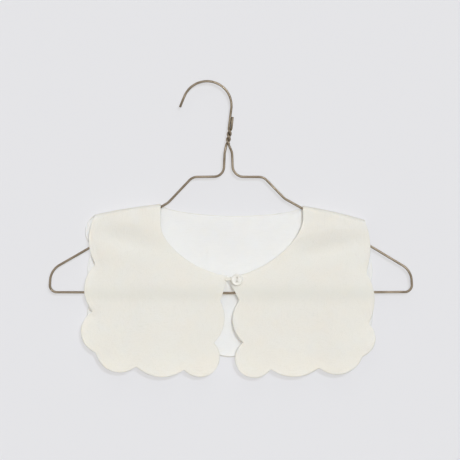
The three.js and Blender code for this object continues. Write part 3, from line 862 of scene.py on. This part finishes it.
def makeLoop():
    low, high = (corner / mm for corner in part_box("button_loop"))
    cord = (high.y - low.y) / 2
    radius = (high.z - low.z) / 2 - cord
    middle = Vector((high.x - cord - radius, (low.y + high.y) / 2, (low.z + high.z) / 2))
    rim = buttonPlace().x - button["profile"][3][0]  # side by side as far as the button's rim
    first = pi - acos(radius / (middle.x - rim))
    ply = thread["loop"] * cord / thread["plies"]
    top = middle + Vector((0, 0, thread["neckRise"] + thread["neckSpread"] * ply))
    neck = [Vector((x, top.y, top.z)) for x in (low.x, rim)]
    line = [*neck]
    for angle in [*between(first, -first, thread["loopSteps"]), -first]:
        line.append(middle + radius * Vector((cos(angle), 0, sin(angle))))
    line += [place - Vector((0, 0, 2 * thread["neckSpread"] * ply)) for place in neck[::-1]]
    mesh = tubeMesh(plied(line, ply), ply, thread["smoothness"])
    piece = addPiece("buttonLoop", mesh, "cream_thread", creamThread)
    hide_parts("button_loop")
    return piece


buttonPiece, threadPiece, loopPiece = makeButton(), makeThread(), makeLoop()
print("button, thread and loop made")

makeFront("frontLeft", -1, fronts["left"], "front_left")
makeFront("frontRight", 1, fronts["right"], "front_right")

backFolds = [
    (-1, 0.6, 0.8, 0.2, 0.3, 0.9, 0),
    (1, 0.25, 0.85, 0.2, 0.3, 0.7, 0),
    (1, 0.8, 0.8, 0.16, 0.3, 0.9, 0),
    (-1, 0.16, 0.33, 0.035, 0.12, -0.3, 0),
    (-1, 1.0, 0.37, 0.08, 0.1, -0.9, 0),
    (-1, 1.0, 0.76, 0.08, 0.06, -0.9, 0),
    (1, 1.0, 0.4, 0.08, 0.1, -0.9, 0),
    (1, 1.0, 0.8, 0.08, 0.09, -0.7, 0),
]
backLayer = makeLayer(1, backDepth, collar["backDrop"], backFolds, seed=29)
back = {
    "foldSteps": 20,
    "scallopSteps": 14,
    "packing": 1.8,
    "rows": 48,
    "liningTrim": 0.12,
    "liningInset": 0.004,
    "rightShoulder": 0.6,
    "valleys": [
        (0.989, None, 1.1),
        (1.0, 0.295, 0.75),
        (1.0, 0.613, 0.8),
        (1.0, 0.914, 1.3),
        (0.853, 1.0, 1.0),
        (0.512, 1.0, 1.0),
        (0.171, 1.0, 1.0),
    ],
}


def backNeckline(share):
    (leftX, _), (rightX, _) = neckCorners[-1], neckCorners[1]
    angle = pi * share
    power = 2 / collar["backSquare"]
    out = abs(cos(angle)) ** power * (1 if cos(angle) >= 0 else -1)
    x = (leftX + rightX) / 2 - (rightX - leftX) / 2 * out
    fall = collar["backNeck"] * max(sin(angle), 0) ** power
    return placeOn(backLayer, x, collarTop - foldLine(x) + fall)


def backPanel(name, trim, inset, middle):
    leftHalf = valleysOf(back["valleys"], -1, collar["backDrop"])
    mirrored = valleysOf(back["valleys"], 1, collar["backDrop"])[::-1]
    bulges = [bulge for _, bulge in mirrored[1:-1]]  # a scallop follows the valley before it
    bulges += [back["rightShoulder"], 0]
    valleys = [*leftHalf, *((place, bulge) for (place, _), bulge in zip(mirrored, bulges))]
    total = len(valleys) - 1
    edge = scallopEdge(backLayer, valleys, -1)
    fold = [share ** back["packing"] for share in between(0, 1, back["foldSteps"])]
    counts = [*fold, *between(1, total - 1, back["scallopSteps"] * (total - 2)), total - 1,
              *(total - count for count in fold[:0:-1]), total]
    kept = [trim + count * (total - 2 * trim) / total for count in counts]
    shares = [bunched(row / back["rows"]) for row in range(back["rows"] + 1)]
    necks, hems = [backNeckline(count / total) for count in kept], [edge(count) for count in kept]
    inner = [neck.lerp(hem, inset) for neck, hem in zip(necks, hems)]
    outer = [hem.lerp(neck, inset) for neck, hem in zip(necks, hems)]
    start = [inner[0].lerp(outer[0], share) for share in shares]
    end = [inner[-1].lerp(outer[-1], share) for share in shares]
    return makePanel(name, backLayer, inner, outer, start, end, shares, middle)


def makeBack(name, node, slot, material, thickness, *cut):
    mesh, size, area = backPanel(name, *cut)
    piece = addPiece(name, mesh, slot, material)
    finishPanel(piece, thickness)
    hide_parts(node)
    print(name, "cut", size, "area", area)


makeBack("backPanel", "back", "cream_cloth", creamCloth, collar["wall"], 0, 0, 0)
liningMiddle = -(collar["wall"] / 2 + collar["layerGap"] + collar["lining"] / 2)
makeBack("backLining", "back_lining", "white_lining", whiteLining, collar["lining"],
         back["liningTrim"], back["liningInset"], liningMiddle)
print("cloth draped")

studio = {
    "pale": (0.785, 0.79, 0.81),
    "stageColor": (0.32, 0.32, 0.332),
    "wallGlow": 0.574,
    "floorGlow": 0.755,
    "wall": 8.4,
    "wallSize": 3000,
    "floor": -1400,
    "floorSize": 20000,
    "domeRadius": 15000,
    "domeSteps": 4,
    "dullness": 0.9,
    "ambient": (0.21, 0.20, 0.185),
    "suns": {  # strength, colour, way of the light, its spread in degrees and whether it glints
        "key": (1.1, (0.92, 1.0, 1.1), (-0.21, 1.0, -0.28), 1.5, True),
        "top": (0.38, (1.0, 1.0, 1.0), (0, 0.6, -0.8), 50, True),
        "front": (1.33, (1.06, 1.0, 0.925), (0, 1.0, 0), 3, False),
        "fill": (1.5, (1.0, 1.0, 1.0), (0.4, -1.0, -0.5), 40, True),
    },
    "distance": 2600,
    "frameWidth": 460,
    "frameMiddle": (23.0, -147.6),
    "sight": 200000,  # past the dome, also for a camera that stands further out
}


def makePlane(name, size, place, upright, material):
    bm = bmesh.new()
    bmesh.ops.create_grid(bm, x_segments=1, y_segments=1, size=size / 2 * mm)
    for vertex in bm.verts:
        x, y, _ = vertex.co
        vertex.co = Vector((x, 0, y) if upright else (x, y, 0)) + place * mm
    plane = addObject(name, meshOf(bm, name))
    plane.data.materials.append(material)
    return plane


def stageMaterial(name, color, glow):  # some of its light is its own, so that shadows on it stay faint
    material, tree, shader = newMaterial(name, color, studio["dullness"])
    shader.inputs["Specular IOR Level"].default_value = 0
    shader.inputs["Emission Color"].default_value = (*studio["pale"], 1)
    shader.inputs["Emission Strength"].default_value = glow
    return material, tree, shader


def wallMaterial():  # clear from behind, so that the collar's back can be seen
    material, tree, shader = stageMaterial("paleWall", studio["stageColor"], studio["wallGlow"])
    behind = addNode(tree, "ShaderNodeNewGeometry").outputs["Backfacing"]
    clear = addNode(tree, "ShaderNodeBsdfTransparent").outputs["BSDF"]
    mixed = addNode(tree, "ShaderNodeMixShader", {0: behind, 1: shader.outputs["BSDF"], 2: clear})
    tree.links.new(mixed.outputs["Shader"], tree.nodes["Material Output"].inputs["Surface"])
    return material


def makeStage():
    floorMaterial = stageMaterial("paleFloor", studio["stageColor"], studio["floorGlow"])[0]
    floor = makePlane("floor", studio["floorSize"], Vector((0, 0, studio["floor"])), False, floorMaterial)
    floor.visible_diffuse = False
    wall = makePlane("wall", studio["wallSize"], Vector((0, studio["wall"], 0)), True, wallMaterial())
    wall.visible_shadow = wall.visible_diffuse = False
    makeDome()
    world = bpy.data.worlds.new("studio")
    bpy.context.scene.world = world
    world.use_nodes = True
    world.node_tree.nodes["Background"].inputs["Color"].default_value = (*studio["ambient"], 1)


def makeDome():  # seen as the far background, without lighting anything
    material = stageMaterial("paleDome", (0, 0, 0), 1)[0]
    bm = bmesh.new()
    bmesh.ops.create_icosphere(bm, subdivisions=studio["domeSteps"], radius=studio["domeRadius"] * mm)
    bmesh.ops.reverse_faces(bm, faces=bm.faces)
    dome = addObject("dome", meshOf(bm, "dome"))
    dome.data.materials.append(material)
    dome.visible_diffuse = dome.visible_shadow = dome.visible_transmission = False


def makeSun(name, strength, color, way, angle, glints):
    light = bpy.data.lights.new(name, "SUN")
    light.energy, light.color = strength, color
    light.angle = radians(angle)
    lamp = addObject(name, light)
    lamp.rotation_euler = Vector(way).to_track_quat("-Z", "Y").to_euler()
    lamp.visible_glossy = glints


def makeCamera():
    data = bpy.data.cameras.new("camera")
    data.lens = data.sensor_width * studio["distance"] / studio["frameWidth"]
    data.clip_end = studio["sight"] * mm
    camera = addObject("camera", data)
    x, z = studio["frameMiddle"]
    camera.location = Vector((x, -studio["distance"], z)) * mm
    camera.rotation_euler = (pi / 2, 0, 0)
    bpy.context.scene.camera = camera


makeStage()
for name, settings in studio["suns"].items():
    makeSun(name, *settings)
makeCamera()
bpy.context.scene.view_settings.view_transform = "Standard"
print("stage, light and camera set")
